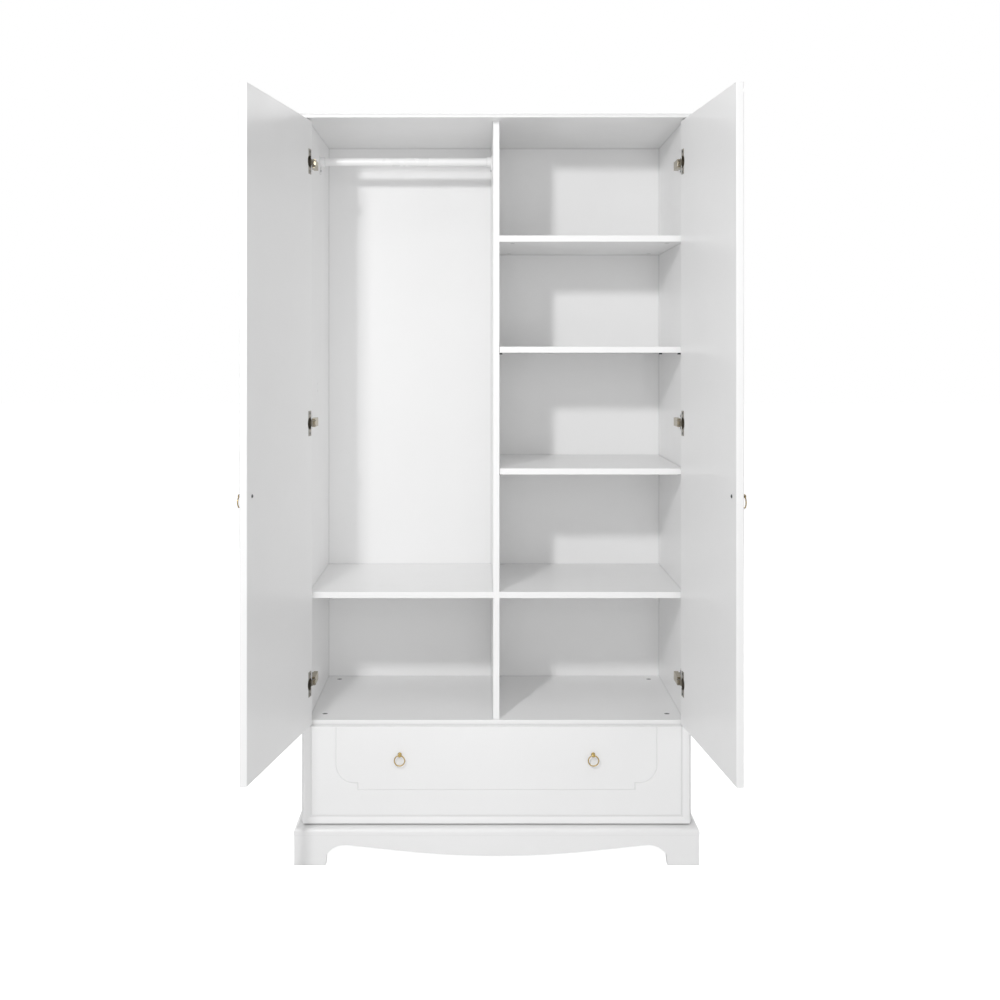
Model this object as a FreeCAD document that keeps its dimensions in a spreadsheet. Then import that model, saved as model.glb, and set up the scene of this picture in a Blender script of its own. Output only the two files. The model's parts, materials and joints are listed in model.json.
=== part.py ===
import FreeCAD, Part
import math
import os
import re

import Sketcher

# A free-standing two-door wardrobe in white lacquered board, 1946 mm tall.
# It stands against a wall: the origin is where the middle of its back meets
# the floor, +Z is up, the front faces -Y and +X is to the right of a person
# who looks at the front. Every size is in millimetres.
# The doors are modelled standing open, the drawer shut and the rings hanging.

DIMENSIONS = {
    # Carcass
    "body_width": 1020,
    "body_depth": 492,
    "body_top": 1934,
    "side_thick": 18,
    "divider_thick": 16,
    "shelf_thick": 16,
    "shelf_setback": 8,
    "shelf_play": 1,
    "deck_top": 363,
    "fixed_shelf_top": 697,
    "upper_shelf_top": 1633.5,
    "back_reach": 466,
    "back_thick": 4,
    "back_groove": 6,
    "sheet_gap": 0.25,
    "groove_play": 0.5,
    # Top board, base board and plinth
    "overhang_side": 15,
    "overhang_front": 48,
    "top_thick": 12,
    "top_round": 8,
    "base_thick": 16,
    "base_round": 9,
    "base_top": 95,
    "plinth_thick": 18,
    "plinth_inset": 1,
    "foot_width": 82,
    "foot_lean": 3,
    "arch_radius": 58,
    "arch_peak": 52,
    "arch_peak_side": 132,
    "arch_middle": 24,
    "arch_slope": 6,
    "block_side": 40,
    "block_high": 60,
    "block_high_front": 26,
    # Shelf pins, cam locks and the pilot holes for a second rail
    "pin_radius": 2.5,
    "pin_deep": 8,
    "pin_reach": 9,
    "pin_top": 1323,
    "pin_pitch": 64,
    "pin_rows": 8,
    "pin_step_lower": 5,
    "pin_front": 52,
    "pin_rear": 406,
    "cam_radius": 7.5,
    "cam_deep": 12,
    "cam_sink": 0.5,
    "cam_side": 36,
    "cam_front": 61,
    "cam_rear": 430,
    "pilot_radius": 2,
    "pilot_deep": 8,
    "pilot_front": 190,
    "pilot_high": 1239,
    "pilot_pitch": 19,
    "pilot_rows": 2,
    "peg_play": 0.1,
    # Hanging rail
    "rail_radius": 11,
    "rail_wall": 1.2,
    "rail_drop": 73,
    "rail_front": 245,
    "rail_play": 0.15,
    "rail_end_play": 0.3,
    "socket_radius": 14,
    "socket_long": 14,
    "flange_thick": 2.5,
    "flange_half": 13,
    "flange_down": 33,
    "flange_up": 15,
    "flange_screw": 25,
    # Doors
    "front_width": 1009,
    "front_thick": 18,
    "front_gap": 3,
    "front_round": 2.5,
    "door_low": 353.5,
    "door_high": 1931,
    "left_open": 99.6,
    "right_open": 95.2,
    "axis_side": 8.8,
    "axis_front": 16,
    # Moulding and scribed line on the fronts
    "mould_flat": 9,
    "mould_wide": 18,
    "mould_deep": 2,
    "mould_groove": 4,
    "mould_floor": 3.2,
    "mould_slope": 1.5,
    "line_side": 86.5,
    "line_end": 89,
    "line_step": 18,
    "line_arc": 47,
    "line_ledge": 10,
    "line_half": 1.5,
    "line_deep": 1.5,
    # Concealed hinges
    "hinge_low": 465,
    "hinge_middle": 1142,
    "hinge_high": 1822,
    "cup_edge": 22.5,
    "cup_radius": 17.4,
    "cup_inner": 16.3,
    "cup_deep": 11.5,
    "bore_radius": 17.5,
    "bore_deep": 12,
    "cup_flange_high": 65,
    "cup_flange_wide": 21,
    "cup_flange_thick": 1.2,
    "cup_screw_pitch": 52,
    "cup_screw_head": 1,
    "plate_front": 37,
    "plate_wing": 45,
    "plate_wide": 12,
    "plate_thick": 2.5,
    "plate_long": 44,
    "plate_body": 18,
    "plate_tall": 6,
    "plate_screw_pitch": 32,
    "arm_back": 62,
    "arm_nose": 1,
    "arm_high": 22,
    "arm_thick": 11.7,
    "arm_sheet": 1.5,
    "nose_out": 8,
    "nose_near": 11,
    "nose_far": 19,
    "nose_high": 10,
    "pivot_side": 17.3,
    "pivot_front": 6.5,
    "pivot_pin": 1.5,
    "pivot_eye": 1.6,
    "link_long": 18,
    "link_fork": 12,
    "link_high": 15,
    "link_gap": 10.6,
    "link_thick": 3,
    "link_boss": 2.8,
    "link_closed": 182,
    "link_ratio": 0.617,
    # Ring pulls
    "pull_edge": 35,
    "pull_high": 1001,
    "drawer_pull": 252,
    "drawer_pull_high": 279,
    "rose_radius": 5.5,
    "rose_thick": 2,
    "neck_radius": 2.4,
    "ball_radius": 4.75,
    "ball_out": 11,
    "eye_radius": 2.5,
    "ring_radius": 13.4,
    "wire_radius": 1.6,
    "screw_hole": 2.4,
    "screw_shank": 2,
    "screw_head": 4.5,
    "head_thick": 2.5,
    # Drawer
    "drawer_low": 98,
    "drawer_high": 351,
    "box_low": 117,
    "box_high": 297,
    "box_deep": 450,
    "box_side": 15,
    "box_back": 15,
    "box_bottom": 5,
    "box_groove": 6,
    "bottom_lift": 12,
    # Ball-bearing slides
    "slide_wide": 12.7,
    "slide_half": 22.5,
    "slide_high": 200,
    "slide_front": 6,
    "slide_long": 440,
    "slide_sheet": 1.2,
    "slide_gap": 0.8,
    "slide_lip": 3,
    # Wood screws
    "wood_head": 3.6,
    "wood_head_thick": 2,
    "wood_shank": 1.8,
    "wood_long": 11,
    "screw_play": 0.2,
    # How far a cut runs past an edge, and how far its section stands out of a face
    "cut_beyond": 5,
    "cut_proud": 1,
}

# How near an edge must lie to a plane to count as on it.
ON_PLANE = 0.01

doc = FreeCAD.newDocument("wardrobe")
NODES = []

# Planes and lengths that many parts share, as formulas of the sheet's aliases.
FRONT = "(-body_depth)"
SET_BACK = "(shelf_setback - body_depth)"
BACK = "(back_reach - body_depth)"
INNER = "(body_width / 2 - side_thick)"
OUTER = "(body_width / 2)"
HALF_DIVIDER = "(divider_thick / 2)"
HALF_FRONT = "(front_width / 2)"
PLINTH_END = "(body_width / 2 + overhang_side - plinth_inset)"
PLINTH_FRONT = "(plinth_inset - body_depth - overhang_front)"
PLINTH_TOP = "(base_top - base_thick)"
DECK_LOW = "(deck_top - shelf_thick)"
RAIL_Y = "(rail_front - body_depth)"
RAIL_Z = "(body_top - rail_drop)"
UPPER_PIN = "pin_top"
LOWER_PIN = "(pin_top - pin_step_lower * pin_pitch)"
BOX_FRONT = "(-body_depth - front_gap)"
BOX_BACK = "(box_deep - body_depth - front_gap)"
BOX_HALF = "(body_width / 2 - side_thick - slide_wide)"

# Planes of a door in its own frame, whose origin is on the hinge axis.
DOOR_INSIDE = "(axis_front - front_gap)"
DOOR_OUTSIDE = "(axis_front - front_gap - front_thick)"
DOOR_FREE = "(front_width / 2 - front_gap / 2 - axis_side)"
CUP_X = "(cup_edge - axis_side)"
PULL_X = "(front_width / 2 - front_gap / 2 - axis_side - pull_edge)"

SIDES = {"left": -1, "right": 1}
HINGES = ("hinge_low", "hinge_middle", "hinge_high")
TURNS = {
    "x": FreeCAD.Rotation(FreeCAD.Vector(0, 1, 0), 90),
    "y": FreeCAD.Rotation(FreeCAD.Vector(1, 0, 0), -90),
    "z": FreeCAD.Rotation(),
}


# ---------------------------------------------------------------- helpers


def fill_sheet():
    """Put the driving dimensions in a spreadsheet, one alias to a row."""
    sheet = doc.addObject("Spreadsheet::Sheet", "Sizes")
    for row, (alias, amount) in enumerate(DIMENSIONS.items(), 1):
        sheet.set(f"A{row}", alias)
        sheet.set(f"B{row}", str(amount))
        sheet.setAlias(f"B{row}", alias)
    doc.recompute()


def bind(thing, name, formula):
    """Tie a property to a formula that names the sheet's aliases."""
    thing.setExpression(name, re.sub(r"[a-z]+(_[a-z]+)+", r"Sizes.\g<0>", str(formula)))


def size(formula):
    """The number that a formula comes to, read off a spare vertex."""
    bind(GAUGE, "X", formula)
    GAUGE.recompute()
    return GAUGE.X.Value


def node(label, thing):
    """Keep a finished sub-part; its label is its file's name."""
    thing.Label = label
    NODES.append(thing)
    return thing


def put(thing, place):
    """Bind the place of a thing, three formulas, and leave its turn alone."""
    for axis, formula in zip("xyz", place):
        bind(thing, f"Placement.Base.{axis}", formula)


def box(name, across, deep, high):
    """A block between three pairs of planes, each pair low then high."""
    block = doc.addObject("Part::Box", name)
    for side, (low, top) in zip(("Length", "Width", "Height"), (across, deep, high)):
        bind(block, side, f"({top}) - ({low})")
    put(block, (across[0], deep[0], high[0]))
    return block


def rod(name, radius, axis, start, length):
    """A round rod that runs from a point along an axis."""
    cylinder = doc.addObject("Part::Cylinder", name)
    bind(cylinder, "Radius", radius)
    bind(cylinder, "Height", length)
    cylinder.Placement = FreeCAD.Placement(FreeCAD.Vector(), TURNS[axis])
    put(cylinder, start)
    return cylinder


def group(name, pieces):
    """Separate solids in one node."""
    compound = doc.addObject("Part::Compound", name)
    compound.Links = pieces
    return compound


def fuse(name, pieces):
    """Pieces joined to one solid."""
    fusion = doc.addObject("Part::MultiFuse", name)
    fusion.Shapes = pieces
    fusion.Refine = True
    return fusion


def cut(name, base, tools):
    """A piece with tools taken out of it."""
    result = doc.addObject("Part::Cut", name)
    result.Base = base
    result.Tool = tools[0] if len(tools) == 1 else group(f"{name}_tools", tools)
    return result


def span(side, low, high):
    """Two planes given for the right-hand side, mirrored for the left."""
    return (low, high) if side > 0 else (f"-({high})", f"-({low})")


def mirrored(side, formula):
    """A place given for the right-hand side, mirrored for the left."""
    return formula if side > 0 else f"-({formula})"


def reach(side, axis_x, length):
    """The start of a rod along X that leaves a plane towards its own side."""
    return axis_x if side > 0 else f"({axis_x}) - ({length})"


def on_door(thing, name):
    """Swing a piece made in a door's own frame to where the open door stands."""
    side = SIDES[name]
    put(thing, (mirrored(side, f"{HALF_FRONT} - axis_side"), f"{FRONT} - axis_front", "0"))
    bind(thing, "Placement.Rotation.Angle", mirrored(side, f"{name}_open"))
    return thing


# ---------------------------------------------------------------- sketches


def new_body(label):
    """A PartDesign body that becomes a node."""
    return node(label, doc.addObject("PartDesign::Body", label))


def new_sketch(body, name, role, offset="0"):
    """A sketch on one of the body's origin planes, moved along its normal."""
    plane = [item for item in body.Origin.OriginFeatures if item.Role == role][0]
    sketch = body.newObject("Sketcher::SketchObject", f"{body.Name}_{name}")
    sketch.AttachmentSupport = (plane, "")
    sketch.MapMode = "FlatFace"
    bind(sketch, "AttachmentOffset.Base.z", offset)
    return sketch


def hold(sketch, piece, spot, way, formula):
    """Fix one coordinate of a sketch point by a formula."""
    number = sketch.addConstraint(Sketcher.Constraint(way, -1, 1, piece, spot, size(formula)))
    sketch.renameConstraint(number, f"held_{number}")
    bind(sketch, f"Constraints.held_{number}", formula)


def heading(start, end):
    """The angle of the line from one point to another."""
    return math.atan2(end.y - start.y, end.x - start.x)


def draw(sketch, points, arcs=None, closed=True):
    """Lines through points; arcs gives a step's centre and its turn, 1 or -1."""
    arcs = arcs or {}
    spots = [FreeCAD.Vector(size(x), size(y), 0) for x, y in points]
    ends = []
    for step in range(len(points) if closed else len(points) - 1):
        start, end = spots[step], spots[(step + 1) % len(spots)]
        if step in arcs:
            ends.append(draw_arc(sketch, start, end, *arcs[step]))
        else:
            ends.append((sketch.addGeometry(Part.LineSegment(start, end), False), 1, 2))
    for step, (piece, tail, head) in enumerate(ends):
        hold(sketch, piece, tail, "DistanceX", points[step][0])
        hold(sketch, piece, tail, "DistanceY", points[step][1])
        if closed or step < len(ends) - 1:
            after = ends[(step + 1) % len(ends)]
            sketch.addConstraint(Sketcher.Constraint("Coincident", piece, head, after[0], after[1]))
        else:
            hold(sketch, piece, head, "DistanceX", points[-1][0])
            hold(sketch, piece, head, "DistanceY", points[-1][1])


def draw_arc(sketch, start, end, centre_x, centre_y, turn):
    """A round step of an outline, with the height of its centre held."""
    centre = FreeCAD.Vector(size(centre_x), size(centre_y), 0)
    circle = Part.Circle(centre, FreeCAD.Vector(0, 0, 1), centre.distanceToPoint(start))
    first, last = (start, end) if turn > 0 else (end, start)
    arc = Part.ArcOfCircle(circle, heading(centre, first), heading(centre, last))
    piece = sketch.addGeometry(arc, False)
    hold(sketch, piece, 3, "DistanceY", centre_y)
    return (piece, 1, 2) if turn > 0 else (piece, 2, 1)


def rectangle(sketch, low, high):
    """A rectangle between two corners."""
    draw(sketch, [low, (high[0], low[1]), high, (low[0], high[1])])


def circles(sketch, radius, centres):
    """Equal circles at places given by formulas."""
    for x, y in centres:
        centre = FreeCAD.Vector(size(x), size(y), 0)
        circle = Part.Circle(centre, FreeCAD.Vector(0, 0, 1), size(radius))
        piece = sketch.addGeometry(circle, False)
        hold(sketch, piece, 3, "DistanceX", x)
        hold(sketch, piece, 3, "DistanceY", y)
        number = sketch.addConstraint(Sketcher.Constraint("Radius", piece, size(radius)))
        sketch.renameConstraint(number, f"radius_{number}")
        bind(sketch, f"Constraints.radius_{number}", radius)


def pad(body, sketch, length):
    """A sketch drawn out along its normal to a solid."""
    feature = body.newObject("PartDesign::Pad", f"{body.Name}_pad")
    feature.Profile = sketch
    bind(feature, "Length", length)
    doc.recompute()
    return feature


def pocket(body, name, sketch, depth):
    """Holes sunk from a sketch on the piece's inner face towards the front."""
    before = body.Tip.Shape.Volume
    feature = body.newObject("PartDesign::Pocket", f"{body.Name}_{name}")
    feature.Profile = sketch
    feature.Reversed = True
    bind(feature, "Length", depth)
    doc.recompute()
    if feature.Shape.Volume >= before:
        raise RuntimeError(f"{feature.Name} cuts nothing")
    return feature


def fillet(body, name, base, radius, wanted):
    """Round the edges of a feature whose middle passes a test."""
    edges = enumerate(base.Shape.Edges, 1)
    chosen = [f"Edge{number}" for number, edge in edges if wanted(edge.CenterOfMass)]
    feature = body.newObject("PartDesign::Fillet", f"{body.Name}_{name}")
    feature.Base = (base, chosen)
    bind(feature, "Radius", radius)
    doc.recompute()
    return feature


def sweep_cut(body, name, profile, spine):
    """Take a profile out along a spine whose corners are mitred."""
    before = body.Tip.Shape.Volume
    doc.recompute()
    feature = body.newObject("PartDesign::SubtractivePipe", f"{body.Name}_{name}")
    feature.Profile = profile
    edges = len(spine.Shape.Edges)
    feature.Spine = (spine, [f"Edge{number}" for number in range(1, edges + 1)])
    feature.Transition = "Right corner"
    doc.recompute()
    if feature.Shape.Volume >= before:
        raise RuntimeError(f"{feature.Name} cuts nothing")
    return feature


# ---------------------------------------------------------------- carcass


def pin_holes(name, axis_x, side):
    """Two upright rows of shelf-pin holes that enter a panel on one side of a plane."""
    start = reach(side, axis_x, "pin_deep")
    holes = []
    for row in ("pin_front", "pin_rear"):
        for step in range(DIMENSIONS["pin_rows"]):
            place = (start, f"{FRONT} + {row}", f"pin_top - {step} * pin_pitch")
            holes.append(rod(f"{name}_pin_hole", "pin_radius", "x", place, "pin_deep"))
    return holes


def side_panels():
    """The two sides, grooved for the back; the right has pin holes, the left pilot holes."""
    for name, side in SIDES.items():
        label = f"side_panel_{name}"
        panel = box(
            f"{label}_board",
            span(side, INNER, OUTER),
            (FRONT, "0"),
            ("base_top", "body_top"),
        )
        groove = box(
            f"{label}_groove",
            span(side, INNER, f"{INNER} + back_groove"),
            (BACK, f"{BACK} + back_thick"),
            ("base_top", "body_top"),
        )
        if name == "right":
            holes = pin_holes(label, INNER, side)
        else:
            holes = []
            for step in range(DIMENSIONS["pilot_rows"]):
                height = f"pilot_high - {step} * pilot_pitch"
                place = (f"-{INNER} - pilot_deep", f"{FRONT} + pilot_front", height)
                holes.append(rod(f"{label}_pilot", "pilot_radius", "x", place, "pilot_deep"))
        node(label, cut(f"{label}_cut", panel, [groove] + holes))


def back_panels():
    """Two thin sheets in the sides' grooves that meet behind the divider."""
    for name, side in SIDES.items():
        sheet_of_board = box(
            f"back_panel_{name}",
            span(side, "sheet_gap", f"{INNER} + back_groove - groove_play"),
            (BACK, f"{BACK} + back_thick"),
            ("base_top", "body_top"),
        )
        node(f"back_panel_{name}", sheet_of_board)


def cam_places(low_x, high_x):
    """The four cam locks of a board between two planes."""
    return [
        (x, f"{FRONT} + {row}")
        for x in (f"{low_x} + cam_side", f"{high_x} - cam_side")
        for row in ("cam_front", "cam_rear")
    ]


def board_with_cams(label, across, deep, high, up):
    """A board with a blind bore for each cam lock, and the locks in them."""
    board = box(f"{label}_board", across, deep, high)
    bores = []
    cams = []
    for x, y in cam_places(across[0], across[1]):
        low = f"{high[1]} - cam_deep" if up else high[0]
        bores.append(rod(f"{label}_bore", "cam_radius", "z", (x, y, low), "cam_deep"))
        cam_low = low if up else f"{low} + cam_sink"
        cam = (x, y, cam_low)
        cams.append(rod(f"{label}_cam", "cam_radius - peg_play", "z", cam, "cam_deep - cam_sink"))
    node(label, cut(f"{label}_cut", board, bores))
    return cams


def divider():
    """The upright between the two compartments."""
    board = box(
        "centre_divider_board",
        (f"-{HALF_DIVIDER}", HALF_DIVIDER),
        (SET_BACK, BACK),
        ("deck_top", "body_top"),
    )
    holes = pin_holes("centre_divider", HALF_DIVIDER, -1)
    node("centre_divider", cut("centre_divider_cut", board, holes))


def fixed_boards():
    """The deck over the drawer and the three fixed shelves, with their cam locks."""
    left = (f"-{INNER}", f"-{HALF_DIVIDER}")
    right = (HALF_DIVIDER, INNER)
    deep = (SET_BACK, BACK)
    lower = ("fixed_shelf_top - shelf_thick", "fixed_shelf_top")
    upper = ("upper_shelf_top - shelf_thick", "upper_shelf_top")
    cams = board_with_cams(
        "deck_panel", (f"-{INNER}", INNER), (FRONT, BACK), (DECK_LOW, "deck_top"), True
    )
    cams += board_with_cams("fixed_shelf_left", left, deep, lower, False)
    cams += board_with_cams("fixed_shelf_right_lower", right, deep, lower, False)
    cams += board_with_cams("fixed_shelf_right_upper", right, deep, upper, False)
    node("cam_locks", group("cam_locks", cams))


def loose_shelves():
    """Two adjustable shelves of the right compartment, each on four pins."""
    pins = []
    for name, height in (("upper", UPPER_PIN), ("lower", LOWER_PIN)):
        label = f"adjustable_shelf_{name}"
        low = f"{height} + pin_radius"
        shelf = box(
            label,
            (f"{HALF_DIVIDER} + shelf_play", f"{INNER} - shelf_play"),
            (SET_BACK, f"{BACK} - shelf_play"),
            (low, f"{low} + shelf_thick"),
        )
        node(label, shelf)
        for row in ("pin_front", "pin_rear"):
            for x in (f"{HALF_DIVIDER} - pin_deep", f"{INNER} - pin_reach"):
                place = (x, f"{FRONT} + {row}", height)
                pins.append(rod("shelf_pin", "pin_radius - peg_play", "x", place, "pin_deep + pin_reach"))
    node("shelf_pins", group("shelf_pins", pins))


def rounded_board(label, low, thickness, radius):
    """A full-size board with a big round on its upper front and side edges."""
    half = "(body_width / 2 + overhang_side)"
    body = new_body(label)
    outline = new_sketch(body, "outline", "XY_Plane", low)
    rectangle(outline, (f"-{half}", f"{FRONT} - overhang_front"), (half, "0"))
    blank = pad(body, outline, thickness)
    upper = size(f"{low} + {thickness}")
    fillet(
        body,
        "round",
        blank,
        radius,
        lambda middle: abs(middle.z - upper) < ON_PLANE and middle.y < -ON_PLANE,
    )


# ---------------------------------------------------------------- plinth


def plinth_front():
    """The front board on two bracket feet, with its drooping arch between them."""
    end = size(PLINTH_END)
    top = size(PLINTH_TOP)
    radius = size("arch_radius")
    slope = math.radians(size("arch_slope"))
    peak_x = end - size("arch_peak_side")
    centre = FreeCAD.Vector(peak_x, 0, size("arch_peak") - radius)
    foot_x = end - size("foot_width")
    cusp_x = foot_x - size("foot_lean")
    cusp_turn = math.acos((cusp_x - peak_x) / radius)
    droop_x = peak_x - radius * math.sin(slope)
    droop_z = centre.z + radius * math.cos(slope)
    middle = size("arch_middle")
    fall = droop_z - middle - math.tan(slope) * droop_x
    sweep = fall / (1 - math.cos(slope) - math.tan(slope) * math.sin(slope))
    sweep_x = sweep * math.sin(slope)
    sweep_z = middle + sweep * (1 - math.cos(slope))

    def spot(x, z):
        return FreeCAD.Vector(x, 0, z)

    def around(turn):
        return spot(centre.x + radius * math.cos(turn), centre.z + radius * math.sin(turn))

    half_arch = [
        Part.LineSegment(spot(end, top), spot(end, 0)),
        Part.LineSegment(spot(end, 0), spot(foot_x, 0)),
        Part.LineSegment(spot(foot_x, 0), around(cusp_turn)),
        Part.Arc(
            around(cusp_turn),
            around((cusp_turn + math.pi / 2 + slope) / 2),
            around(math.pi / 2 + slope),
        ),
        Part.LineSegment(spot(droop_x, droop_z), spot(sweep_x, sweep_z)),
        Part.Arc(
            spot(sweep_x, sweep_z),
            spot(
                sweep * math.sin(slope / 2),
                middle + sweep * (1 - math.cos(slope / 2)),
            ),
            spot(0, middle),
        ),
    ]
    right = Part.Wire([piece.toShape() for piece in half_arch])
    left = right.mirror(spot(0, 0), FreeCAD.Vector(1, 0, 0))
    top_edge = Part.LineSegment(spot(end, top), spot(-end, top)).toShape()
    outline = Part.Wire(Part.__sortEdges__(right.Edges + left.Edges + [top_edge]))
    board = Part.Face(outline).extrude(FreeCAD.Vector(0, size("plinth_thick"), 0))
    feature = doc.addObject("Part::Feature", "plinth_front")
    feature.Shape = board.removeSplitter()
    put(feature, ("0", PLINTH_FRONT, "0"))
    node("plinth_front", feature)


def plinth_rest():
    """The plinth's side and back boards and the blocks in its corners."""
    inside = f"({PLINTH_END} - plinth_thick)"
    behind = f"({PLINTH_FRONT} + plinth_thick)"
    blocks = []
    for name, side in SIDES.items():
        label = f"plinth_side_{name}"
        node(label, box(label, span(side, inside, PLINTH_END), (behind, "0"), ("0", PLINTH_TOP)))
        across = span(side, f"{inside} - block_side", inside)
        high = (f"{PLINTH_TOP} - block_high", PLINTH_TOP)
        front_block = (behind, f"{behind} + block_side")
        back_block = ("-plinth_thick - block_side", "-plinth_thick")
        high_front = (f"{PLINTH_TOP} - block_high_front", PLINTH_TOP)
        blocks.append(box("plinth_block_front", across, front_block, high_front))
        blocks.append(box("plinth_block_back", across, back_block, high))
    back = box("plinth_back", (f"-{inside}", inside), ("-plinth_thick", "0"), ("0", PLINTH_TOP))
    node("plinth_back", back)
    node("plinth_blocks", group("plinth_blocks", blocks))


# ---------------------------------------------------------------- rail


def hanging_rail():
    """A round tube between two sockets, and one screw under each socket."""
    ends = {"left": (f"-{INNER}", 1), "right": (f"-{HALF_DIVIDER}", -1)}
    start = f"(-{INNER} + flange_thick + rail_end_play)"
    length = f"{INNER} - {HALF_DIVIDER} - 2 * flange_thick - 2 * rail_end_play"
    place = (start, RAIL_Y, RAIL_Z)
    tube = rod("hanging_rail_outside", "rail_radius", "x", place, length)
    hollow = rod("hanging_rail_inside", "rail_radius - rail_wall", "x", place, length)
    node("hanging_rail", cut("hanging_rail_tube", tube, [hollow]))
    screws = []
    for name, (wall, way) in ends.items():
        label = f"rail_bracket_{name}"
        plate = box(
            f"{label}_plate",
            (wall, f"{wall} + flange_thick") if way > 0 else (f"{wall} - flange_thick", wall),
            (f"{RAIL_Y} - flange_half", f"{RAIL_Y} + flange_half"),
            (f"{RAIL_Z} - flange_down", f"{RAIL_Z} + flange_up"),
        )
        at_wall = (reach(way, wall, "socket_long"), RAIL_Y, RAIL_Z)
        collar = rod(f"{label}_collar", "socket_radius", "x", at_wall, "socket_long")
        bore_start = reach(way, f"{wall} + {way} * flange_thick", "socket_long")
        at_bore = (bore_start, RAIL_Y, RAIL_Z)
        bore = rod(f"{label}_bore", "rail_radius + rail_play", "x", at_bore, "socket_long")
        low = f"{RAIL_Z} - flange_screw"
        at_hole = (reach(way, wall, "flange_thick"), RAIL_Y, low)
        hole = rod(f"{label}_hole", "wood_shank + screw_play", "x", at_hole, "flange_thick")
        body = fuse(f"{label}_body", [plate, collar])
        node(label, cut(f"{label}_cut", body, [bore, hole]))
        screws.append(wood_screw("rail_screw", f"{wall} + {way} * flange_thick", way, RAIL_Y, low))
    node("rail_screws", group("rail_screws", screws))


def wood_screw(name, face, way, y, z):
    """A screw driven along X: its head stands on a face, its shank bites behind it."""
    head_at = (reach(way, face, "wood_head_thick"), y, z)
    shank_at = (reach(-way, face, "wood_long"), y, z)
    head = rod(f"{name}_head", "wood_head", "x", head_at, "wood_head_thick")
    shank = rod(f"{name}_shank", "wood_shank", "x", shank_at, "wood_long")
    return fuse(name, [head, shank])


# ---------------------------------------------------------------- hinges


def hinge_plates():
    """Six cross-shaped plates on the sides, and the two screws of each."""
    plate_y = f"({FRONT} + plate_front)"
    plates = []
    screws = []
    for side in SIDES.values():
        wall = mirrored(side, INNER)
        for height in HINGES:
            wing = box(
                "plate_wing",
                span(side, f"{INNER} - plate_thick", INNER),
                (f"{plate_y} - plate_wide / 2", f"{plate_y} + plate_wide / 2"),
                (f"{height} - plate_wing / 2", f"{height} + plate_wing / 2"),
            )
            saddle = box(
                "plate_saddle",
                span(side, f"{INNER} - plate_tall", INNER),
                (f"{plate_y} - plate_long / 2", f"{plate_y} + plate_long / 2"),
                (f"{height} - plate_body / 2", f"{height} + plate_body / 2"),
            )
            holes = []
            for way in (-1, 1):
                z = f"{height} + {way} * plate_screw_pitch / 2"
                face = f"{wall} - {side} * plate_thick"
                hole_at = (reach(-side, wall, "plate_thick"), plate_y, z)
                holes.append(rod("plate_hole", "wood_shank + screw_play", "x", hole_at, "plate_thick"))
                screws.append(wood_screw("plate_screw", face, -side, plate_y, z))
            plates.append(cut("hinge_plate", fuse("plate_cross", [wing, saddle]), holes))
    node("hinge_plates", group("hinge_plates", plates))
    node("plate_screws", group("plate_screws", screws))


def hinge_arms():
    """Six channel arms clipped over the plates, and the pivot pin in each nose."""
    arms = []
    pins = []
    for side in SIDES.values():
        near = f"({INNER} - plate_tall)"
        far = f"({INNER} - plate_tall - arm_thick)"
        for height in HINGES:
            shell = box(
                "arm_shell",
                span(side, far, near),
                (f"{FRONT} - arm_nose", f"{FRONT} + arm_back"),
                (f"{height} - arm_high / 2", f"{height} + arm_high / 2"),
            )
            hollow = box(
                "arm_hollow",
                span(side, f"{far} + arm_sheet", near),
                (f"{FRONT} + plate_front / 2", f"{FRONT} + arm_back"),
                (f"{height} - arm_high / 2 + arm_sheet", f"{height} + arm_high / 2 - arm_sheet"),
            )
            nose = box(
                "arm_tip",
                span(side, f"{INNER} - nose_far", f"{INNER} - nose_near"),
                (f"{FRONT} - nose_out", f"{FRONT} - arm_nose"),
                (f"{height} - nose_high / 2", f"{height} + nose_high / 2"),
            )
            pivot = (mirrored(side, f"{INNER} - pivot_side"), f"{FRONT} - pivot_front")
            eye_at = (pivot[0], pivot[1], f"{height} - nose_high / 2")
            eye = rod("arm_eye", "pivot_eye", "z", eye_at, "nose_high")
            arms.append(cut("hinge_arm", fuse("arm_body", [shell, nose]), [hollow, eye]))
            pin_at = (pivot[0], pivot[1], f"{height} - link_high / 2")
            pins.append(rod("pivot_pin", "pivot_pin", "z", pin_at, "link_high"))
    node("hinge_arms", group("hinge_arms", arms))
    node("hinge_pins", group("hinge_pins", pins))


def hinge_links(name):
    """One door's three links: forks on the arms' pivots that reach to the cups."""
    side = SIDES[name]
    links = []
    for height in HINGES:
        across = span(-side, "0", "link_long")
        slot = span(-side, "-2 * link_boss", "link_fork")
        deep = ("-link_thick / 2", "link_thick / 2")
        wide = ("-2 * link_boss", "2 * link_boss")
        high = (f"{height} - link_high / 2", f"{height} + link_high / 2")
        bar = box("link_bar", across, deep, high)
        boss_at = ("0", "0", high[0])
        boss = rod("link_boss", "link_boss", "z", boss_at, "link_high")
        gap = box("link_slot", slot, wide, (f"{height} - link_gap / 2", f"{height} + link_gap / 2"))
        eye = rod("link_eye", "pivot_eye", "z", boss_at, "link_high")
        links.append(cut("hinge_link", fuse("link_body", [bar, boss]), [gap, eye]))
    label = f"hinge_links_{name}"
    thing = node(label, group(label, links))
    pivot_x = mirrored(side, f"{INNER} - pivot_side")
    put(thing, (pivot_x, f"{FRONT} - pivot_front", "0"))
    turn = f"link_closed - 180 + link_ratio * {name}_open"
    bind(thing, "Placement.Rotation.Angle", mirrored(-side, f"({turn}) + 180"))


# ---------------------------------------------------------------- fronts


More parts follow.
